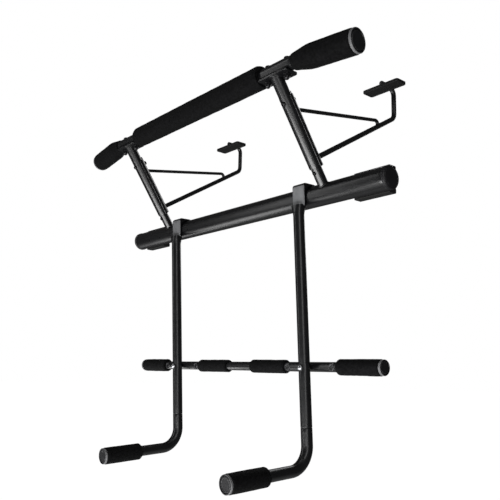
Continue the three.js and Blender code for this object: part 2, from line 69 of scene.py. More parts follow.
rod_start = 80 * mm           # distances along the riser's axis, from the main bar's axis
brace_start = 195 * mm
rod_root = 8 * mm             # rod and brace start this far behind that axis
brace_landing = 0.78          # fraction of the lower rod's slope where the brace lands
brace_elbow = (-7 * mm, 13 * mm)   # behind and above its landing
hook_bend_height = 240 * mm
hook_bend = 20 * mm
brace_bend = 8 * mm
channel_wrap = radians(100)
channel_wall = 3.2 * mm
channel_bevel = 0.9 * mm
tongue_wrap = 0.42
tongue_height = 7 * mm
tongue_lap = 0.8 * mm         # the tongue reaches this far down into the channel
channel_bolt_radius = 2.9 * mm

handle_bend = 48 * mm
top_bar_bend = 50 * mm
eyelet_spacing = 66 * mm      # from each hanger tube's axis
eyelet_rim = 7.8 * mm
eyelet_hole = 4.5 * mm
cross_bolt_radius = 3.8 * mm
washer_thickness = 1.2 * mm

strap_clearance = 0.4 * mm    # between the hanger strap and the main bar
strap_front = 5 * mm          # thickness of the strap's front leg
strap_lip = 4 * mm            # its rear leg ends this far below the main bar's axis
strap_rise = 1 * mm           # its flat front stands this much higher than its rear curve
strap_corner = 7.5 * mm
strap_bevel = 2.2 * mm
neck_height = 20 * mm         # the neck narrows from the strap into the hanger tube
neck_lap = 2.5 * mm           # its top is this far up inside the strap
neck_skin = 0.4 * mm          # it stands out this far from the tube
neck_flare = 2.6 * mm         # its top is this much wider than its bottom, on each side

# The edges of the foam sleeves: length, depth and easing.
middle_foam_edge = (7 * mm, 2.5 * mm, 5 * mm)
grip_taper = (42 * mm, 8 * mm, 90 * mm)
grip_end = (3 * mm, 1.5 * mm, 3 * mm)
handle_foam_taper = (6 * mm, 5 * mm, 3 * mm)
handle_foam_end = (2 * mm, 1 * mm, 2 * mm)
cross_foam_edge = (2.5 * mm, 2.2 * mm, 2.5 * mm)

SIDES = {"left": -1, "right": 1}
FIXED = "fixed_frame"
LOWER = "lower_frame"

# ---- Reading the frame -----------------------------------

x_axis = Vector((1, 0, 0))
y_axis = Vector((0, 1, 0))
z_axis = Vector((0, 0, 1))
# Draws an outline's X and Y along Y and Z, and its thickness along X.
sideways = Matrix(((0, 0, 1, 0), (1, 0, 0, 0), (0, 1, 0, 0), (0, 0, 0, 1)))


def corners_of(node):
    """The different corner points of a CAD node, as rows."""
    points = np.array([v.co for v in frame["nodes"][node].data.vertices], float)
    return np.unique(points.round(6), axis=0)


def box_in(node, place):
    """A CAD node's lowest and highest corner, measured along the axes of a place."""
    turn = np.array(place.inverted())
    points = corners_of(node) @ turn[:3, :3].T + turn[:3, 3]
    return Vector(points.min(0)), Vector(points.max(0))


def radius_in(node, place):
    """Half of a CAD node's width along the X of a place."""
    low, high = box_in(node, place)
    return (high.x - low.x) / 2


def axis_of(node):
    """The direction in which a turned CAD node is longest."""
    points = corners_of(node)
    return Vector(np.linalg.svd(points - points.mean(0), full_matrices=False)[2][0])


def middle(low, high):
    return (low + high) / 2


def standing(origin, up, side=x_axis):
    """A place with its +Z along up and its +X as near to side as it can be."""
    z = up.normalized()
    y = z.cross(side).normalized()
    x = y.cross(z)
    turn = Matrix((x, y, z)).transposed().to_4x4()
    return Matrix.Translation(origin) @ turn


def across(point, direction):
    """A place whose +Z runs along the world's X, out to the side that direction says."""
    return standing(point, Vector((direction, 0, 0)), z_axis)


def moved(place, x=0, y=0, z=0):
    return place @ Matrix.Translation((x, y, z))


def flipped(place):
    """The same place with +Z the other way."""
    return place @ Matrix.Rotation(pi, 4, "X")


def to_front(place, x, y, z):
    """A point of a place, with +Z turned to its front."""
    return moved(place, x, y, z) @ Matrix.Rotation(pi / 2, 4, "X")


def to_back(place, x, y, z):
    """A point of a place, with +Z turned to its back."""
    return moved(place, x, y, z) @ Matrix.Rotation(-pi / 2, 4, "X")


bar_axis = Vector(frame["joints"][0]["pos_m"])
main_low, main_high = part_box("main_bar")
main_radius = (main_high.z - main_low.z) / 2
forward = axis_of("handle_foam_left")
forward *= -1 if forward.y > 0 else 1
lean = atan2(-forward.z, -forward.y)
lower_place = Matrix.Translation(bar_axis) @ Matrix.Rotation(lean, 4, "X")


def riser_place(side):
    """Stands on the main bar's axis with +Z up the riser and +Y out of its back."""
    plate_low, plate_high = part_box(f"saddle_plate_{side}")
    top = middle(plate_low, plate_high)
    foot = Vector((top.x, bar_axis.y, bar_axis.z))
    return standing(foot, Vector((top.x, top.y, plate_low.z)) - foot)


def grip_place(side):
    """Lies on an outer grip's axis, from its inner end, and comes with the grip's length."""
    node = f"top_grip_{side}"
    heading = axis_of(node)
    heading *= 1 if heading.x * SIDES[side] > 0 else -1
    place = standing(Vector(corners_of(node).mean(0)), heading, z_axis)
    low, high = box_in(node, place)
    return moved(place, z=low.z), high.z - low.z


# ---- Meshes ----------------------------------------------


def placed(name, data, place):
    """Puts a mesh, a camera or a light in the scene."""
    thing = bpy.data.objects.new(name, data)
    thing.matrix_world = place
    bpy.context.scene.collection.objects.link(thing)
    return thing


def finished_mesh(name, points, faces, place):
    """A mesh in the scene with its faces out, smooth but for its real edges."""
    mesh = bpy.data.meshes.new(name)
    mesh.from_pydata(points, [], faces)
    work = bmesh.new()
    work.from_mesh(mesh)
    bmesh.ops.recalc_face_normals(work, faces=work.faces)
    work.to_mesh(mesh)
    work.free()
    mesh.shade_smooth()
    mesh.set_sharp_from_angle(angle=sharp_edge)
    return placed(name, mesh, place)


def skin(name, loops, place=Matrix(), ring=False):
    """Covers a row of loops. A ring joins the last loop to the first, and otherwise both ends close."""
    count = len(loops[0])
    rows = len(loops)
    faces = []
    for i in range(rows if ring else rows - 1):
        j = (i + 1) % rows
        for k in range(count):
            m = (k + 1) % count
            faces.append((i * count + k, i * count + m, j * count + m, j * count + k))
    if not ring:
        faces.append(tuple(range(count))[::-1])
        faces.append(tuple(range((rows - 1) * count, rows * count)))
    return finished_mesh(name, [point for loop in loops for point in loop], faces, place)


def eased(corners, closed=False, steps=5):
    """An outline through (a, b) or (a, b, radius) corners, with each corner rounded to its radius."""
    points = [Vector(corner[:2]) for corner in corners]
    radii = [corner[2] if len(corner) > 2 else 0 for corner in corners]
    line = []
    for i, point in enumerate(points):
        at_end = not closed and i in (0, len(points) - 1)
        if at_end or radii[i] == 0:
            line.append(point)
            continue
        before = (points[i - 1] - point).normalized()
        after = (points[(i + 1) % len(points)] - point).normalized()
        half = before.angle(after) / 2
        centre = point + (before + after).normalized() * (radii[i] / sin(half))
        start = point + before * (radii[i] / tan(half)) - centre
        end = point + after * (radii[i] / tan(half)) - centre
        turn = start.angle_signed(end)
        for k in range(steps + 1):
            line.append(centre + Matrix.Rotation(-turn * k / steps, 2) @ start)
    return [tuple(point) for point in line]


def full_turn(count):
    """Even angles round one full turn."""
    return [2 * pi * k / count for k in range(count)]


def arc(radius, start, end, count):
    """Points of an arc round the origin, from one angle to another."""
    return [(radius * cos(a), radius * sin(a)) for a in np.linspace(start, end, count)]


def ring_of(centre, first, second, radius, count):
    """Points round a centre, in the plane of two directions."""
    return [centre + (first * cos(a) + second * sin(a)) * radius for a in full_turn(count)]


def circle(radius, height, sides, hexagonal=False):
    """A loop of points round +Z. A hexagonal one has its six corners at the radius."""
    loop = []
    for angle in full_turn(sides):
        reach = radius
        if hexagonal:
            reach = radius * cos(pi / 6) / cos(angle % (pi / 3) - pi / 6)
        loop.append((reach * cos(angle), reach * sin(angle), height))
    return loop


def turned(name, profile, place, sides=72, ring=False, hexagonal=()):
    """Turns (radius, height) points about +Z. The rows listed in hexagonal are six-sided."""
    loops = [circle(radius, height, sides, row in hexagonal)
             for row, (radius, height) in enumerate(profile)]
    return skin(name, loops, place, ring)


def dome(radius, height, base, steps=8):
    """Profile points of a dome on a base height, from its rim nearly to its tip."""
    angles = [pi / 2 * k / steps for k in range(steps)] + [pi / 2 - 0.04]
    return [(radius * cos(a), base + height * sin(a)) for a in angles]


def bent_line(corners, bend, spacing=bend_spacing):
    """Stations (point, direction) along straight runs that are joined by round bends."""
    corners = [Vector(corner) for corner in corners]
    headings = [(b - a).normalized() for a, b in zip(corners, corners[1:])]
    stations = []
    start = corners[0]
    for i, corner in enumerate(corners[1:-1]):
        turn = headings[i].angle(headings[i + 1])
        reach = bend * tan(turn / 2)
        entry = corner - headings[i] * reach
        stations += straight(start, entry, headings[i])
        inward = (headings[i + 1] - headings[i] * headings[i + 1].dot(headings[i])).normalized()
        centre = entry + inward * bend
        steps = max(4, round(bend * turn / spacing))
        for k in range(1, steps):
            angle = turn * k / steps
            outward = headings[i] * sin(angle) - inward * cos(angle)
            heading = headings[i] * cos(angle) + inward * sin(angle)
            stations.append((centre + outward * bend, heading))
        start = corner + headings[i + 1] * reach
    stations += straight(start, corners[-1], headings[-1])
    return stations


def straight(start, end, heading, spacing=8 * mm):
    steps = max(1, round((end - start).length / spacing))
    return [(start.lerp(end, k / steps), heading) for k in range(steps + 1)]


def swept(name, stations, radius, normal, place=Matrix(), sides=56, edge=1 * mm):
    """A round bar along stations in the plane with that normal. Its end edges are eased."""
    loops = []
    last = len(stations) - 1
    for i, (point, heading) in enumerate(stations):
        level = normal.cross(heading)
        rings = [(0, radius)]
        if i in (0, last) and edge:
            inside = 1 if i == 0 else -1
            turns = [pi / 2 * k / 4 for k in range(5)]
            rings = [(inside * edge * (1 - sin(a)), radius - edge * (1 - cos(a)))
                     for a in reversed(turns)]
            rings = rings if i == 0 else rings[::-1]
        for shift, reach in rings:
            loops.append(ring_of(point + heading * shift, normal, level, reach, sides))
    return skin(name, loops, place)


def meeting(point, heading, radius, axis_point, axis_heading, axis_radius, count=160):
    """The line where a round bar that comes from a point first meets a round bar on an axis."""
    heading = heading.normalized()
    axis_heading = axis_heading.normalized()
    side = heading.orthogonal().normalized()
    other = heading.cross(side)
    run = heading - axis_heading * heading.dot(axis_heading)
    squared = run.length_squared
    line = []
    for rim in ring_of(point, side, other, radius, count):
        start = rim - axis_point
        start -= axis_heading * start.dot(axis_heading)
        product = start.dot(run)
        inside = max(0, product**2 - squared * (start.length_squared - axis_radius**2))
        line.append(rim + heading * ((-product - sqrt(inside)) / squared))
    return line


def pressed(name, outline, thickness, place, bevel):
    """A plate: an outline in X and Y, thickened along +Z, with eased edges."""
    count = len(outline)
    points = [(a, b, height) for height in (0, thickness) for a, b in outline]
    faces = [tuple(range(count))[::-1], tuple(range(count, 2 * count))]
    faces += [(k, (k + 1) % count, count + (k + 1) % count, count + k) for k in range(count)]
    piece = finished_mesh(name, points, faces, place)
    easing = piece.modifiers.new("eased edges", "BEVEL")
    easing.width = bevel
    easing.segments = 3
    easing.limit_method = "ANGLE"
    easing.angle_limit = radians(40)
    easing.harden_normals = True
    return piece


def rectangle(width, depth, corner):
    x, y = width / 2, depth / 2
    return eased([(x, -y, corner), (x, y, corner), (-x, y, corner), (-x, -y, corner)], closed=True)


def thread(name, radius, length, place):
    """A threaded bolt end: a helical ridge on a shank, with a chamfered tip."""
    sides, rows_per_pitch = 36, 6
    loops = []
    steps = round(length / thread_pitch * rows_per_pitch)
    for i in range(steps + 1):
        height = length * i / steps
        chamfer = min(1, (length - height) / thread_pitch + 0.35)
        loop = []
        for k, angle in enumerate(full_turn(sides)):
            phase = (height / thread_pitch - k / sides) % 1
            ridge = abs(phase - 0.5) * 2
            reach = (radius - thread_depth * ridge) * (0.8 + 0.2 * chamfer)
            loop.append((reach * cos(angle), reach * sin(angle), height))
        loops.append(loop)
    return skin(name, loops, place)


# ---- Materials -------------------------------------------

grain_low, grain_high = 0.3, 0.7   # the part of the noise that varies a colour or a gloss


class Finish:
    """A procedural material: one Principled shader, and helpers that vary it over the surface."""

    def __init__(self, name, **values):
        self.material = bpy.data.materials.new(name)
        self.material.use_nodes = True
        self.nodes = self.material.node_tree.nodes
        self.links = self.material.node_tree.links
        self.place = self.add("TexCoord").outputs["Object"]
        self.shader = self.nodes["Principled BSDF"]
        self.normal = None
        self.set_sockets(self.shader, values)

    def set_sockets(self, node, values):
        for socket, value in values.items():
            node.inputs[socket.replace("_", " ")].default_value = value

    def add(self, kind, **values):
        """Adds a node of a kind, with values for its sockets."""
        node = self.nodes.new(f"ShaderNode{kind}")
        self.set_sockets(node, values)
        return node

    def grain(self, scale, detail=3, place=None):
        node = self.add("TexNoise", Scale=scale, Detail=detail)
        self.links.new(place or self.place, node.inputs["Vector"])
        return node.outputs["Fac"]

    def cells(self, scale):
        node = self.add("TexVoronoi", Scale=scale)
        self.links.new(self.place, node.inputs["Vector"])
        return node.outputs["Distance"]

    def streaks(self, scale, stretch):
        """Grain that is drawn out along the piece's own axes."""
        mapping = self.add("Mapping", Scale=stretch)
        self.links.new(self.place, mapping.inputs["Vector"])
        return self.grain(scale, 4, mapping.outputs["Vector"])

    def roughen(self, factor, low, high):
        """Drives the roughness between low and high."""
        node = self.add("MapRange", From_Min=grain_low, From_Max=grain_high, To_Min=low, To_Max=high)
        self.links.new(factor, node.inputs["Value"])
        self.links.new(node.outputs["Result"], self.shader.inputs["Roughness"])

    def tint(self, factor, dark, light):
        """Drives the base colour between two colours."""
        node = self.add("ValToRGB")
        for stop, position, colour in zip(node.color_ramp.elements, (grain_low, grain_high), (dark, light)):
            stop.position = position
            stop.color = (*colour, 1)
        self.links.new(factor, node.inputs["Fac"])
        self.links.new(node.outputs["Color"], self.shader.inputs["Base Color"])

    def painted_light(self, colour):
        """Paints light and shade into the base colour: takes it to another colour where a mesh carries its
        painted-light number.
        """
        amount = self.add("Attribute")
        amount.attribute_name = "painted_light"
        mix = self.add("MixRGB", Color2=(*colour, 1))
        base = self.shader.inputs["Base Color"]
        self.links.new(base.links[0].from_socket, mix.inputs["Color1"])
        self.links.new(amount.outputs["Fac"], mix.inputs["Fac"])
        self.links.new(mix.outputs["Color"], base)

    def bump(self, height, strength, distance):
        """Adds a layer of relief on top of the ones before."""
        node = self.add("Bump", Strength=strength, Distance=distance)
        self.links.new(height, node.inputs["Height"])
        if self.normal:
            self.links.new(self.normal, node.inputs["Normal"])
        self.normal = node.outputs["Normal"]
        self.links.new(self.normal, self.shader.inputs["Normal"])


def black_steel():
    """Satin black powder coat, with its orange peel and a slightly uneven gloss."""
    finish = Finish("black_steel", Metallic=0.0, Specular_IOR_Level=0.75)
    finish.tint(finish.grain(45), (0.0028, 0.0029, 0.0034), (0.0060, 0.0062, 0.0072))
    finish.roughen(finish.grain(70), 0.27, 0.31)
    finish.bump(finish.grain(500, detail=1), 0.05, 0.006 * mm)
    finish.bump(finish.grain(2600, detail=1), 0.10, 0.002 * mm)
    return finish


def strap_steel():
    """Grey coated flat steel, with faint drawing streaks down its length, and painted shade: near black
    where a mesh is marked.
    """
    finish = Finish("strap_steel", Metallic=0.35, Specular_IOR_Level=0.6)
    finish.tint(finish.streaks(90, (6, 0.6, 0.6)), (0.190, 0.193, 0.199), (0.270, 0.274, 0.282))
    # Painted shade: marked faces, all of the strap but its flat front, go near black.
    finish.painted_light((0.004, 0.004, 0.005))
    finish.roughen(finish.grain(80, detail=5), 0.34, 0.46)
    finish.bump(finish.streaks(200, (5, 0.5, 0.5)), 0.25, 0.012 * mm)
    finish.bump(finish.grain(1800, detail=1), 0.25, 0.005 * mm)
    return finish


def grip_foam():
    """Closed-cell foam: matt black, with open pores in its skin."""
    finish = Finish("grip_foam", Sheen_Weight=0.01, Sheen_Roughness=0.5, Specular_IOR_Level=0.09)
    finish.tint(finish.grain(160, detail=6), (0.0020, 0.0020, 0.0022), (0.0070, 0.0070, 0.0076))
    finish.roughen(finish.grain(300), 0.72, 0.88)
    finish.bump(finish.grain(120), 0.35, 0.8 * mm)
    finish.bump(finish.cells(900), 0.55, 0.5 * mm)
    return finish


def black_rubber():
    finish = Finish("black_rubber", Specular_IOR_Level=0.4)
    finish.tint(finish.grain(90, detail=4), (0.005, 0.005, 0.005), (0.011, 0.011, 0.011))
    finish.roughen(finish.grain(200, detail=4), 0.55, 0.75)
    finish.bump(finish.grain(900, detail=2), 0.25, 0.15 * mm)
    return finish


def black_plastic():
    """Moulded plastic with the fine spark texture of its mould."""
    finish = Finish("black_plastic", Specular_IOR_Level=0.4)
    finish.tint(finish.grain(60), (0.006, 0.006, 0.007), (0.011, 0.011, 0.013))
    # Painted highlights: marked faces, the rings on cap rims and disc edges, go light grey.
    finish.painted_light((0.20, 0.20, 0.205))
    finish.roughen(finish.grain(120, detail=4), 0.34, 0.48)
    finish.bump(finish.grain(1500, detail=2), 0.3, 0.02 * mm)
    return finish


def bright_zinc():
    finish = Finish("bright_zinc", Metallic=1.0)
    finish.tint(finish.grain(300, detail=4), (0.55, 0.56, 0.58), (0.74, 0.75, 0.77))
    finish.roughen(finish.grain(500, detail=4), 0.16, 0.30)
    finish.bump(finish.grain(1200), 0.2, 0.008 * mm)
    return finish


def black_screws():
    """Black oxide on machined steel: darker and glossier than the powder coat."""
    finish = Finish("black_screws", Metallic=0.55, Specular_IOR_Level=0.6)
    finish.tint(finish.grain(200, detail=4), (0.010, 0.010, 0.011), (0.024, 0.024, 0.026))
    # Painted highlight: marked faces, the fronts of the eyelet rims, go grey.
    finish.painted_light((0.09, 0.09, 0.095))
    finish.roughen(finish.grain(350, detail=4), 0.20, 0.33)
    finish.bump(finish.grain(1400, detail=2), 0.2, 0.008 * mm)
    return finish


materials = {make.__name__: make().material for make in (
    black_steel, strap_steel, grip_foam, black_rubber, black_plastic, bright_zinc, black_screws)}


def fitted(piece, slot, body, *nodes):
    """Gives a piece its finish and its body, and hides the CAD nodes it stands for."""
    piece.data.materials.append(materials[slot])
    if nodes:
        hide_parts(*nodes)
    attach(piece, body)
    return piece


# ---- Shared parts ----------------------------------------


def mark_painted_light(piece, amount):
    """Marks where highlights and shade are painted: gives each face of a piece a number, from its place in
    the piece.
    """
    numbers = piece.data.attributes.new("painted_light", "FLOAT", "FACE")
    for face in piece.data.polygons:
        numbers.data[face.index].value = amount(face.center)
    return piece


def weld(name, line, centre=None):
    """A rippled bead of the fixed frame along a closed line, round a centre or its own middle."""
    if centre is None:
        centre = sum(line, Vector()) / len(line)
    loops = []
    count = len(line)
    length = sum((line[k] - line[k - 1]).length for k in range(count))
    ripples = max(6, round(length / ripple_pitch))
    for k, point in enumerate(line):
        heading = (line[(k + 1) % count] - line[k - 1]).normalized()
        outward = (point - centre).normalized()
        outward = (outward - heading * outward.dot(heading)).normalized()
        level = heading.cross(outward)
        swell = weld_size * (1 + weld_ripple * cos(2 * pi * ripples * k / count))
        loops.append(ring_of(point, outward, level, swell, 10))
    fitted(skin(name, loops, ring=True), "black_steel", FIXED)


def sleeve(node, place, bar_radius, body, inner_edge, outer_edge, wave=0.45 * mm):
    """A foam sleeve on a bar that lies along the Z of a place, with a slightly wavy surface."""
    low, high = box_in(node, place)
    length = high.z - low.z
    outer = (high.x - low.x) / 2
    bore = bar_radius + gap
    near_length, near_depth, near_ease = inner_edge
    far_length, far_depth, far_ease = outer_edge
    outline = eased([
        (bore, 0), (outer - near_depth, 0, near_depth * 0.3), (outer, near_length, near_ease),
        (outer, length - far_length, far_ease), (outer - far_depth, length, far_depth * 0.3),
        (bore, length),
    ])
    profile = []
    for (r0, z0), (r1, z1) in zip(outline, outline[1:]):
        steps = max(1, round(abs(z1 - z0) / (2.5 * mm)))
        profile += [(r0 + (r1 - r0) * k / steps, z0 + (z1 - z0) * k / steps) for k in range(steps)]
    profile.append(outline[-1])
    piece = turned(f"{node}_foam", profile, moved(place, z=low.z), sides=96, ring=True)
    seed = Vector((sum(map(ord, node)) % 17, 0, 0))
    for vertex in piece.data.vertices:
        flat = Vector((vertex.co.x, vertex.co.y, 0))
        if flat.length > bore + 1 * mm:
            sway = noise.noise(vertex.co * 38 + seed) + 0.45 * noise.noise(vertex.co * 120 + seed)
            vertex.co += flat.normalized() * wave * (sway - 0.5)
    return fitted(piece, "grip_foam", body, node)


def grip_cap(node, place, bar_end, bar_radius, body):
    """An end cap: a rounded rim, a groove, and a raised disc with fine turned rings.

    The bar lies along the Z of the place and ends at the height bar_end.
    """
    low, high = box_in(node, place)
    rim = (high.x - low.x) / 2
    top = high.z - low.z
    shoulder = bar_end - low.z + gap
    plug = bar_radius - tube_wall
    groove_floor = top - 2.2 * mm
    disc = rim * 0.74
    disc_top = top - 0.6 * mm
    inner_disc = disc * 0.86
    profile = eased([
        (plug, 0), (plug, shoulder), (rim, shoulder, 0.4 * mm), (rim, top, 1.3 * mm),
        (rim * 0.86, top, 0.6 * mm), (rim * 0.83, groove_floor), (rim * 0.79, groove_floor),
        (disc, disc_top, 0.6 * mm), (inner_disc, disc_top),
    ])
    rings = 7
    ring_height = 0.06 * mm
    for k in range(1, rings * 4):
        share = 1 - k / (rings * 4)
        height = top - 0.8 * mm + ring_height * cos(2 * pi * rings * share)
        profile.append((inner_disc * share, height))
    piece = turned(f"{node}_cap", profile, moved(place, z=low.z), sides=96)

    # Painted highlights: a pale ring on the rim and a fainter one round the disc's edge.
    def painted_highlight(spot):
        reach = Vector((spot.x, spot.y)).length
        on_rim = reach > rim * 0.95 and spot.z > shoulder
        on_disc_edge = disc * 0.93 < reach < disc * 1.02
        return 0.9 if on_rim else 0.3 if on_disc_edge else 0.0

    return fitted(mark_painted_light(piece, painted_highlight), "black_plastic", body, node)


def level_plate(node, corner, bevel):
    """A level steel plate of the fixed frame, with rounded corners."""
    low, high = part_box(node)
    centre = middle(low, high)
    piece = pressed(f"{node}_plate", rectangle(high.x - low.x, high.y - low.y, corner), high.z - low.z,
                    Matrix.Translation((centre.x, centre.y, low.z)), bevel)
    return fitted(piece, "black_steel", FIXED, node)


def socket_head(name, place, radius, height):
    """A button head with a hexagon socket. Its underside is at height 0 and +Z points out of it."""
    socket = radius * 0.42
    profile = eased([(0.1 * mm, 0), (radius * 0.98, 0, 0.3 * mm)])
    profile += dome(radius, height, 0.35 * mm)[1:6]
    lip = profile[-1][1]
    profile += [(socket * 1.18, lip + 0.1 * mm), (socket, lip - 0.5 * mm), (socket, lip * 0.25),
                (0.1 * mm, lip * 0.1)]
    rows = len(profile)
    return turned(name, profile, place, hexagonal=(rows - 3, rows - 2))


def hexagon_nut(name, place, radius, height, bore):
    """A nut with its corners chamfered at both faces."""
    flat = radius * 0.88
    profile = [(bore, 0), (flat, 0), (radius, height * 0.14), (radius, height * 0.86), (flat, height),
               (bore, height)]
    return turned(name, profile, place, ring=True, hexagonal=(2, 3))


def washer(name, place, outer, bore, thickness):
    profile = eased([(bore, 0, 0.15 * mm), (outer, 0, 0.3 * mm), (outer, thickness, 0.3 * mm),
                     (bore, thickness, 0.15 * mm)], closed=True, steps=3)
    return turned(name, profile, place, ring=True)


# ---- Main bar and casing pads ----------------------------


def main_bar():
    ends = [Vector((x, *bar_axis.yz)) for x in (main_low.x, main_high.x)]
    tube = swept("main_bar_tube", straight(*ends, x_axis), main_radius, z_axis, sides=96, edge=0.8 * mm)
    fitted(tube, "black_steel", FIXED, "main_bar")
    for side, sign in SIDES.items():
        node = f"main_bar_end_cap_{side}"
        place = across(Vector((0, *bar_axis.yz)), sign)
        low, high = box_in(node, place)
        rim = (high.x - low.x) / 2
        length = high.z - low.z
        shoulder = (main_high.x if sign > 0 else -main_low.x) - low.z
        crown = length - shoulder
        plug = main_radius * 0.9
        base = shoulder + crown * 0.78
        profile = eased([
            (plug, 0), (plug, shoulder + gap), (rim, shoulder + gap, 0.5 * mm),
            (rim, shoulder + crown * 0.55, 1.6 * mm), (rim * 0.90, shoulder + crown * 0.80, 0.8 * mm),
            (rim * 0.86, shoulder + crown * 0.74, 0.5 * mm),
            (rim * 0.82, shoulder + crown * 0.80, 0.5 * mm),
        ])[:-1]
        profile += dome(rim * 0.82, length - base, base, steps=14)
        cap = turned(f"{node}_cap", profile, moved(place, z=low.z), sides=96)
        # Painted highlight: a pale ring at the cap's shoulder.
        mark_painted_light(cap, lambda spot: 0.5 if shoulder < spot.z < shoulder + 1.2 * mm else 0.0)
        fitted(cap, "black_plastic", FIXED, node)


def casing_pads():
    """Moulded pads: flat ribbed backs, and fronts that hug the main bar."""
    hug = main_radius + 0.35 * mm
    groove_depth, groove_width, pitch, margin = 1.2 * mm, 2.4 * mm, 7.5 * mm, 8 * mm
    for side in SIDES:
        node = f"casing_pad_{side}"
        place = Matrix.Translation(bar_axis)
        low, high = box_in(node, place)
        front, back, bottom, top = low.y, high.y, low.z, high.z
        hug_angle = acos(front / hug)
        count = int((top - bottom - margin) / pitch)
        back_line = [(back, bottom, 3 * mm)]
        for k in range(count):
            z = (top + bottom) / 2 + (k - (count - 1) / 2) * pitch
            back_line += [(back, z - groove_width / 2), (back - groove_depth, z - groove_width / 4),
                          (back - groove_depth, z + groove_width / 4), (back, z + groove_width / 2)]
        back_line += [(back, top, 3 * mm)]
        outline = eased([(front, bottom, 1.5 * mm), *back_line, (front, top, 1.5 * mm),
                         *arc(hug, hug_angle, -hug_angle, 24)], closed=True)
        pad = pressed(f"{node}_moulding", outline, high.x - low.x, moved(place, x=low.x) @ sideways,
                      bevel=0.9 * mm)
        fitted(pad, "black_rubber", FIXED, node)


# ---- Risers and hook frames ------------------------------


def riser(side):
    """A stub welded to the main bar, and the riser tube on it, cut level under the saddle plate."""
    place = riser_place(side)
    to_local = place.inverted()
    up = place.to_3x3() @ z_axis
    foot = place.translation

    stub_low, stub_high = box_in(f"riser_stub_{side}", place)
    above = foot + up * 0.2
    joint_line = meeting(above, -up, (stub_high.x - stub_low.x) / 2, foot, x_axis, main_radius)
    saddle_line = [to_local @ point for point in joint_line]
    loops = [[tuple(point) for point in saddle_line]]
    rows = 12
    for k in range(1, rows + 1):
        height = stub_high.z * k / rows
        if height > max(point.z for point in saddle_line):
            loops.append([(point.x, point.y, height) for point in saddle_line])
    stub = skin(f"riser_stub_{side}_tube", loops, place)
    fitted(stub, "black_steel", FIXED, f"riser_stub_{side}")
    weld(f"riser_foot_weld_{side}", joint_line, foot)

    tube_low, tube_high = box_in(f"riser_tube_{side}", place)
    radius = (tube_high.x - tube_low.x) / 2
    bore = radius - riser_wall
    start = tube_low.z
    sides = 72
    profile = eased([(bore, start + 20 * mm), (bore, start, 0.5 * mm), (radius, start, 0.8 * mm),
                     (radius, start + 10 * mm)])
    loops = [circle(r, z, sides) for r, z in profile]
    lower_loop = loops[-1]
    plate_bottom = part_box(f"saddle_plate_{side}")[0].z
    top_loop = [(x, y, (plate_bottom - foot.z - y * place[2][1]) / up.z) for x, y, _ in lower_loop]
    for share in np.linspace(0.05, 1, 24):
        loops.append([(x, y, z + (end[2] - z) * share) for (x, y, z), end in zip(lower_loop, top_loop)])
    tube = skin(f"riser_tube_{side}_tube", loops, place)
    fitted(tube, "black_steel", FIXED, f"riser_tube_{side}")
    corners = [place @ Vector(point) for point in top_loop]
    head_line = []
    for k, corner in enumerate(corners):
        head_line += [corner, corner.lerp(corners[(k + 1) % sides], 0.5)]
    weld(f"riser_head_weld_{side}", head_line)


def saddle(side):
    """The plate on a riser, and two bolts through it and the top bar."""
    level_plate(f"saddle_plate_{side}", 7 * mm, 0.9 * mm)
    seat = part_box("top_bar")[1].z + 0.2 * mm
    for part in ("inner", "outer"):
        bolt = f"saddle_bolt_{part}_{side}"
        low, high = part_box(bolt)
        axis = middle(low, high)
        head = socket_head(f"{bolt}_head", Matrix.Translation((axis.x, axis.y, seat)),
                           (high.x - low.x) / 2, high.z - seat)
        fitted(head, "black_screws", FIXED, bolt)
        dome_nut(f"saddle_nut_{part}_{side}", axis)


def dome_nut(node, axis):
    """A flanged hexagon nut with a domed end, under a saddle plate."""
    low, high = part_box(node)
    radius = (high.x - low.x) / 2
    height = high.z - low.z
    flange = 1.6 * mm
    skirt = height * 0.45
    profile = [(radius * 0.5, 0)]
    profile += eased([(radius, 0, 0.3 * mm), (radius, flange, 0.4 * mm), (radius * 0.9, flange)])
    profile += [(radius * 0.93, flange), (radius * 0.93, skirt)]
    six_sided = (len(profile) - 2, len(profile) - 1)
    profile += dome(radius * 0.82, height - skirt, skirt, steps=12)
    down = flipped(Matrix.Translation((axis.x, axis.y, high.z)))
    fitted(turned(f"{node}_dome", profile, down, hexagonal=six_sided), "black_screws", FIXED, node)


def wrapped(outer, angle, count):
    """The outline of a piece of the channel's wall, from the middle of its back to an angle each way."""
    back = pi / 2
    return (arc(outer, back + angle, back - angle, count)
            + arc(outer - channel_wall, back - angle, back + angle, count))


def hook_channel(side, place):
    """A pressed half sleeve round the riser's back, with a tongue at its top."""
    node = f"hook_channel_{side}"
    low, high = box_in(node, place)
    outer = (high.x - low.x) / 2
    channel = pressed(f"{node}_sleeve", wrapped(outer, channel_wrap, 41), high.z - low.z,
                      moved(place, z=low.z), channel_bevel)
    fitted(channel, "black_steel", FIXED, node)
    tongue = pressed(f"hook_tongue_{side}", wrapped(outer, tongue_wrap, 11), tongue_height,
                     moved(place, z=high.z - tongue_lap), channel_bevel)
    fitted(tongue, "black_steel", FIXED)


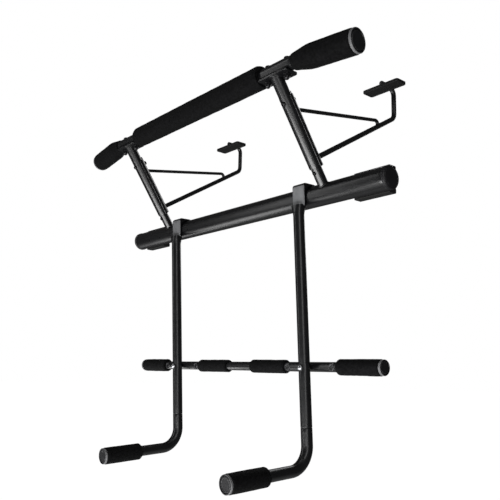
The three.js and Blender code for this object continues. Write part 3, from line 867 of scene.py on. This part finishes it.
def hook_frame(side):
    """The hook: a lower rod that slopes back and up and turns over at the top, and a brace above it."""
    place = riser_place(side)
    hook_channel(side, place)
    channel_radius = radius_in(f"hook_channel_{side}", place)
    up = place.to_3x3() @ z_axis
    back = place.to_3x3() @ y_axis
    foot = place.translation
    low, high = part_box(f"hook_rod_{side}")
    radius = (high.x - low.x) / 2
    reach = high.y - radius
    top = high.z - radius
    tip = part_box(f"hook_rest_plate_{side}")[0].y + 3 * mm
    corners = [
        foot + up * rod_start + back * rod_root,
        Vector((foot.x, reach, bar_axis.z + hook_bend_height)),
        Vector((foot.x, reach, top)),
        Vector((foot.x, tip, top)),
    ]
    rod = swept(f"hook_rod_{side}_rod", bent_line(corners, hook_bend), radius, x_axis, sides=40,
                edge=1.6 * mm)
    fitted(rod, "black_steel", FIXED, f"hook_rod_{side}")
    slope = corners[1] - corners[0]
    weld(f"hook_rod_weld_{side}", meeting(corners[1], -slope, radius, foot, up, channel_radius, 96))

    brace_radius = radius_in(f"hook_brace_{side}", Matrix())
    landing = corners[0].lerp(corners[1], brace_landing)
    elbow = landing + Vector((0, *brace_elbow))
    start = foot + up * brace_start + back * rod_root
    brace_line = bent_line([start, elbow, landing], brace_bend, spacing=1.5 * mm)
    brace = swept(f"hook_brace_{side}_rod", brace_line, brace_radius, x_axis, sides=32, edge=0)
    fitted(brace, "black_steel", FIXED, f"hook_brace_{side}")
    weld(f"hook_brace_weld_{side}",
         meeting(elbow, start - elbow, brace_radius, foot, up, channel_radius, 80))
    weld(f"hook_brace_foot_weld_{side}",
         meeting(elbow, landing - elbow, brace_radius, corners[0], slope, radius, 80))


def hook_rest(side):
    """A rest plate under the hook's tip, in a rubber boot."""
    plate = f"hook_rest_plate_{side}"
    level_plate(plate, 4 * mm, 0.6 * mm)
    plate_low, plate_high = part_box(plate)
    centre = middle(plate_low, plate_high)
    low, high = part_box(f"hook_boot_{side}")
    width, depth, height = high - low
    wall = 3 * mm
    floor_height = plate_low.z - low.z - 0.2 * mm
    # Each point is (inset from the outline, height), from under the boot to its inside floor.
    profile = eased([(20 * mm, 0.8 * mm), (6 * mm, 0.8 * mm), (5 * mm, 0), (0, 0, 1.5 * mm),
                     (0, height, 0.9 * mm), (wall, height, 0.9 * mm), (wall, floor_height)])
    loops = []
    for inset, level in profile:
        corner = max(1 * mm, 6 * mm - inset)
        shrink = 2 * min(inset, 12 * mm)
        loops.append([(a, b, level) for a, b in rectangle(width - shrink, depth - shrink, corner)])
    boot = skin(f"hook_boot_{side}_tray", loops, Matrix.Translation((centre.x, centre.y, low.z)))
    fitted(boot, "black_rubber", FIXED, f"hook_boot_{side}")


def screw_head(screw, tube, side):
    """The head of a screw in the front of a riser's tube or stub."""
    place = riser_place(side)
    node = f"{screw}_{side}"
    low, high = box_in(node, place)
    front = -radius_in(f"{tube}_{side}", place)
    seat = to_front(place, 0, front - 0.1 * mm, middle(low, high).z)
    head = socket_head(f"{node}_head", seat, (high.x - low.x) / 2, front - low.y)
    fitted(head, "black_screws", FIXED, node)


def riser_screws(side):
    """The bolt that clamps the hook channel, with its nut at the back, and the stop screw below."""
    screw_head("channel_bolt", "riser_tube", side)
    place = riser_place(side)
    low, high = box_in(f"channel_bolt_{side}", place)
    channel_high = box_in(f"hook_channel_{side}", place)[1]
    nut_seat = channel_high.x - 1 * mm
    backward = to_back(place, 0, nut_seat, middle(low, high).z)
    nut = hexagon_nut(f"channel_nut_{side}", backward, 6 * mm, channel_high.y - nut_seat,
                      channel_bolt_radius)
    fitted(nut, "black_screws", FIXED)
    tail = thread(f"channel_bolt_tail_{side}", channel_bolt_radius, high.y - nut_seat, backward)
    fitted(tail, "black_screws", FIXED)
    screw_head("stop_screw", "riser_stub", side)


# ---- Top bar ---------------------------------------------


def top_bar():
    """The top bar with its bent ends, three foams and two end caps."""
    centre = middle(*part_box("top_foam_middle"))
    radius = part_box("top_bar")[1].z - centre.z
    corners = []
    for side, sign in SIDES.items():
        place, length = grip_place(side)
        heading = place.to_3x3() @ z_axis
        start = place.translation
        bend = start - heading * ((start.y - centre.y) / heading.y)
        end = start + heading * length
        corners += [end, bend] if sign < 0 else [bend, end]
    normal = (corners[1] - corners[0]).cross(corners[3] - corners[2]).normalized()
    bar = swept("top_bar_tube", bent_line(corners, top_bar_bend), radius, normal, sides=64)
    fitted(bar, "black_steel", FIXED, "top_bar")
    sleeve("top_foam_middle", across(centre, 1), radius, FIXED, middle_foam_edge, middle_foam_edge)
    for side in SIDES:
        place, length = grip_place(side)
        sleeve(f"top_grip_{side}", place, radius, FIXED, grip_taper, grip_end)
        grip_cap(f"top_end_cap_{side}", place, length, radius, FIXED)


# ---- Lower frame -----------------------------------------


def hanger(side):
    """The strap over the main bar, the neck under it, and the straight tube."""
    node = f"hanger_strap_{side}"
    low, high = box_in(node, lower_place)
    width = high.x - low.x
    tube_low, tube_high = box_in(f"hanger_tube_{side}", lower_place)
    radius = (tube_high.x - tube_low.x) / 2
    axis = middle(tube_low, tube_high)
    foot = tube_high.z + gap
    inner = main_radius + strap_clearance
    outer = high.y
    face = -(inner + strap_front)
    outline = [(-inner, foot), *arc(inner, pi, 0, 37), (inner, -strap_lip), (outer, -strap_lip),
               *arc(outer, 0, pi / 2, 19), (face, outer + strap_rise, strap_corner), (face, foot)]
    place = moved(lower_place, x=axis.x - width / 2) @ sideways
    strap = pressed(f"{node}_strap", eased(outline, closed=True, steps=8), width, place, strap_bevel)
    # Painted shade: every face of the strap but its flat front goes near black.
    mark_painted_light(strap, lambda spot: 0.0 if spot.x < face + 0.1 * mm else 1.0)
    fitted(strap, "strap_steel", LOWER, node)
    neck(side, axis, radius, foot + neck_lap)

    ends = [Vector((axis.x, axis.y, z)) for z in (tube_low.z, tube_high.z)]
    tube = swept(f"hanger_tube_{side}_tube", straight(*ends, z_axis, spacing=2.5 * mm), radius, x_axis,
                 lower_place, edge=1.2 * mm)
    bolt = middle(*box_in(f"cross_bolt_{side}", lower_place))
    dent(tube, Vector((axis.x, axis.y - radius, bolt.z)), 1.1 * mm, 11 * mm)
    fitted(tube, "black_steel", LOWER, f"hanger_tube_{side}")


def neck(side, axis, tube_radius, top):
    """Narrows from a soft rectangle in the strap to a round skin on the hanger tube."""
    half_depth = tube_radius + neck_skin
    rows = 12
    loops = []
    for k in range(rows + 1):
        share = k / rows
        ease = share * share * (3 - 2 * share)
        power = 3 - ease
        half_width = half_depth + neck_flare * (1 - ease)
        loop = []
        for a in full_turn(72):
            c, s = cos(a), sin(a)
            reach = (abs(c) ** power + abs(s) ** power) ** (-1 / power)
            loop.append((axis.x + half_width * reach * c, axis.y + half_depth * reach * s,
                         top - neck_height * share))
        loops.append(loop)
    fitted(skin(f"hanger_neck_{side}", loops, lower_place), "black_steel", LOWER)


def dent(piece, spot, depth, reach):
    """Presses a round dent into a tube, front to back, as a tight bolt does."""
    for vertex in piece.data.vertices:
        distance = (vertex.co - spot).length
        vertex.co.y += depth * exp(-((distance / reach) ** 2))


def handle(side):
    """The L-shaped tube with its spigot, foam and end cap."""
    node = f"handle_tube_{side}"
    tip = box_in(node, lower_place)[0]
    hanger_low, hanger_high = box_in(f"hanger_tube_{side}", lower_place)
    radius = (hanger_high.x - hanger_low.x) / 2
    axis = middle(hanger_low, hanger_high)
    level = tip.z + radius
    seam = hanger_low.z - gap
    corners = [(axis.x, axis.y, seam), (axis.x, axis.y, level), (axis.x, tip.y, level)]
    tube = swept(f"{node}_tube", bent_line(corners, handle_bend), radius, x_axis, lower_place,
                 edge=1.2 * mm)
    fitted(tube, "black_steel", LOWER, node)
    spigot_radius = radius - tube_wall
    spigot = turned(f"handle_spigot_{side}", [(spigot_radius, 0), (spigot_radius, 30 * mm)],
                    moved(lower_place, axis.x, axis.y, seam - 3 * mm))
    fitted(spigot, "black_steel", LOWER)

    foam = f"handle_foam_{side}"
    foam_start = box_in(foam, lower_place)[1].y
    place = standing(lower_place @ Vector((axis.x, foam_start, level)), forward)
    sleeve(foam, place, radius, LOWER, handle_foam_taper, handle_foam_end, wave=0.3 * mm)
    grip_cap(f"handle_end_cap_{side}", place, foam_start - tip.y, radius, LOWER)


def cross_bar():
    """The cross bar with rimmed holes, its foams, end caps and bolts."""
    low, high = box_in("cross_bar", lower_place)
    radius = (high.z - low.z) / 2
    centre = Vector((0, high.y - radius, (low.z + high.z) / 2))
    ends = [Vector((x, centre.y, centre.z)) for x in (low.x, high.x)]
    tube = swept("cross_bar_tube", straight(*ends, x_axis, 4 * mm), radius, z_axis, lower_place)
    fitted(tube, "black_steel", LOWER, "cross_bar")
    for side, sign in SIDES.items():
        hanger_x = middle(*box_in(f"hanger_tube_{side}", lower_place)).x
        place = lower_place @ across(centre, sign)
        for part, direction in (("inner", -sign), ("outer", sign)):
            hole = to_front(lower_place, hanger_x + direction * eyelet_spacing, centre.y, centre.z)
            eyelet(f"eyelet_{part}_{side}", hole, radius)
        for part in ("outer", "inner"):
            sleeve(f"cross_foam_{part}_{side}", place, radius, LOWER, cross_foam_edge, cross_foam_edge,
                   wave=0.5 * mm)
        bar_end = high.x if sign > 0 else -low.x
        grip_cap(f"cross_end_cap_{side}", place, bar_end, radius, LOWER)
        cross_fasteners(side, hanger_x, centre.z)


def eyelet(name, place, bar_radius):
    """A rolled rim round a hole in the cross bar. +Z points out of the bar's front."""
    front = bar_radius + 0.9 * mm
    back = -bar_radius * 0.2
    profile = eased([
        (eyelet_hole, back), (eyelet_rim, back), (eyelet_rim, front, 1 * mm),
        (eyelet_hole + 0.3 * mm, front, 1 * mm), (eyelet_hole - 0.2 * mm, back / 2),
    ], closed=True)
    rim = turned(name, profile, place, ring=True)
    # Painted highlight on the front of the rim.
    mark_painted_light(rim, lambda spot: 0.8 if spot.z > front - 1.1 * mm else 0.0)
    fitted(rim, "black_screws", LOWER)
    floor_profile = [(eyelet_hole, back * 1.5), (eyelet_hole, back / 2)]
    fitted(turned(f"{name}_floor", floor_profile, place), "black_rubber", LOWER)


def cross_fasteners(side, x, z):
    """A round-headed bolt through a hanger tube and the cross bar, with its washer and nut behind."""
    bolt = f"cross_bolt_{side}"
    low, high = box_in(bolt, lower_place)
    radius = (high.x - low.x) / 2
    seat = box_in(f"hanger_tube_{side}", lower_place)[0].y + 0.6 * mm
    rim = 0.9 * mm
    profile = eased([(0.1 * mm, 0), (radius, 0, 0.2 * mm), (radius, rim)])
    profile += dome(radius, seat - low.y - rim, rim, steps=12)[1:]
    head = turned(f"{bolt}_head", profile, to_front(lower_place, x, seat, z))
    fitted(head, "bright_zinc", LOWER, bolt)

    node = f"cross_nut_{side}"
    nut_low, nut_high = box_in(node, lower_place)
    nut_radius = max(nut_high.x - nut_low.x, nut_high.z - nut_low.z) / 2
    height = nut_high.y - nut_low.y - washer_thickness
    back = to_back(lower_place, x, nut_low.y, z)
    disc = washer(f"cross_washer_{side}", back, nut_radius * 1.15, cross_bolt_radius + 0.4 * mm,
                  washer_thickness)
    fitted(disc, "bright_zinc", LOWER)
    nut = hexagon_nut(f"{node}_hexagon", moved(back, z=washer_thickness), nut_radius, height,
                      cross_bolt_radius)
    fitted(nut, "bright_zinc", LOWER, node)
    tail = thread(f"cross_bolt_tail_{side}", cross_bolt_radius, high.y - nut_low.y, back)
    fitted(tail, "bright_zinc", LOWER)


# ---- Camera, light and floor -----------------------------

camera_at = Vector((1.245, -1.044, -0.386))
camera_yaw = radians(49.94)
camera_pitch = radians(10.62)
camera_roll = radians(1.35)
camera_lens = 47.1
floor_drop = 1.8              # the main bar's height above the floor
floor_reach = 60
world_light = 0.06
floor_glow = 0.97
# Azimuth and elevation in degrees, distance, width and height in metres, and power in watts.
lights = {
    "low_front": (16, -44, 1.8, 2.2, 0.55, 34),
    "left_front": (-40, 9, 2.2, 0.30, 2.4, 5),
    "low_left": (-76, -40, 2.2, 1.4, 0.6, 9),
    "right_front": (58, 6, 2.4, 0.70, 2.4, 9),
    "overhead": (20, 68, 2.4, 1.2, 1.2, 3),
    "behind": (195, 25, 2.6, 1.6, 1.6, 20),
}


def camera():
    data = bpy.data.cameras.new("camera")
    data.lens = camera_lens
    place = (Matrix.Translation(camera_at) @ Matrix.Rotation(camera_yaw, 4, "Z")
             @ Matrix.Rotation(pi / 2 + camera_pitch, 4, "X")
             @ Matrix.Rotation(camera_roll, 4, "Z"))
    bpy.context.scene.camera = placed("camera", data, place)


def softbox(name, azimuth, elevation, distance, width, height, power):
    """An area light that faces the object. Azimuth 0 is in front of it, and 90 to its right."""
    data = bpy.data.lights.new(name, "AREA")
    data.shape = "RECTANGLE"
    data.size = width
    data.size_y = height
    data.energy = power
    a, e = radians(azimuth), radians(elevation)
    away = Vector((sin(a) * cos(e), -cos(a) * cos(e), sin(e)))
    facing = (-away).to_track_quat("-Z", "Y").to_matrix().to_4x4()
    light = placed(name, data, Matrix.Translation(bar_axis + away * distance) @ facing)
    light.visible_camera = False


def seen_and_lighting(tree, seen, lighting, output):
    """Shows one shader to the camera and lets the other one light the scene."""
    mix = tree.nodes.new("ShaderNodeMixShader")
    path = tree.nodes.new("ShaderNodeLightPath")
    tree.links.new(path.outputs["Is Camera Ray"], mix.inputs["Fac"])
    tree.links.new(lighting, mix.inputs[1])
    tree.links.new(seen, mix.inputs[2])
    tree.links.new(mix.outputs["Shader"], output)


def white_world():
    """White to the camera, and a dim even light on the object."""
    world = bpy.data.worlds.new("studio")
    bpy.context.scene.world = world
    world.use_nodes = True
    tree = world.node_tree
    seen = tree.nodes["Background"]
    lighting = tree.nodes.new("ShaderNodeBackground")
    for background, strength in ((seen, 1.0), (lighting, world_light)):
        background.inputs["Color"].default_value = (1, 1, 1, 1)
        background.inputs["Strength"].default_value = strength
    seen_and_lighting(tree, seen.outputs["Background"], lighting.outputs["Background"],
                      tree.nodes["World Output"].inputs["Surface"])


def pale_floor():
    """A floor that is as white as the background and still takes a soft shadow."""
    mesh = bpy.data.meshes.new("floor")
    corners = [(x * floor_reach, y * floor_reach, 0) for x, y in ((-1, -1), (1, -1), (1, 1), (-1, 1))]
    mesh.from_pydata(corners, [], [(0, 1, 2, 3)])
    floor = placed("floor", mesh, Matrix.Translation((0, 0, -floor_drop)))
    finish = Finish("pale_floor", Roughness=0.95, Specular_IOR_Level=0.1)
    finish.tint(finish.grain(3), (0.78, 0.78, 0.78), (0.82, 0.82, 0.82))
    glow = finish.add("Emission", Strength=floor_glow)
    both = finish.add("AddShader")
    finish.links.new(finish.shader.outputs["BSDF"], both.inputs[0])
    finish.links.new(glow.outputs["Emission"], both.inputs[1])
    seen_and_lighting(finish.material.node_tree, both.outputs["Shader"], finish.shader.outputs["BSDF"],
                      finish.nodes["Material Output"].inputs["Surface"])
    mesh.materials.append(finish.material)


def studio():
    bpy.context.scene.view_settings.view_transform = "Standard"
    for name, setting in lights.items():
        softbox(name, *setting)
    white_world()
    pale_floor()


# ---- The whole object ------------------------------------

camera()
studio()
main_bar()
casing_pads()
for side in SIDES:
    riser(side)
    saddle(side)
    hook_frame(side)
    hook_rest(side)
    riser_screws(side)
    hanger(side)
    handle(side)
top_bar()
cross_bar()
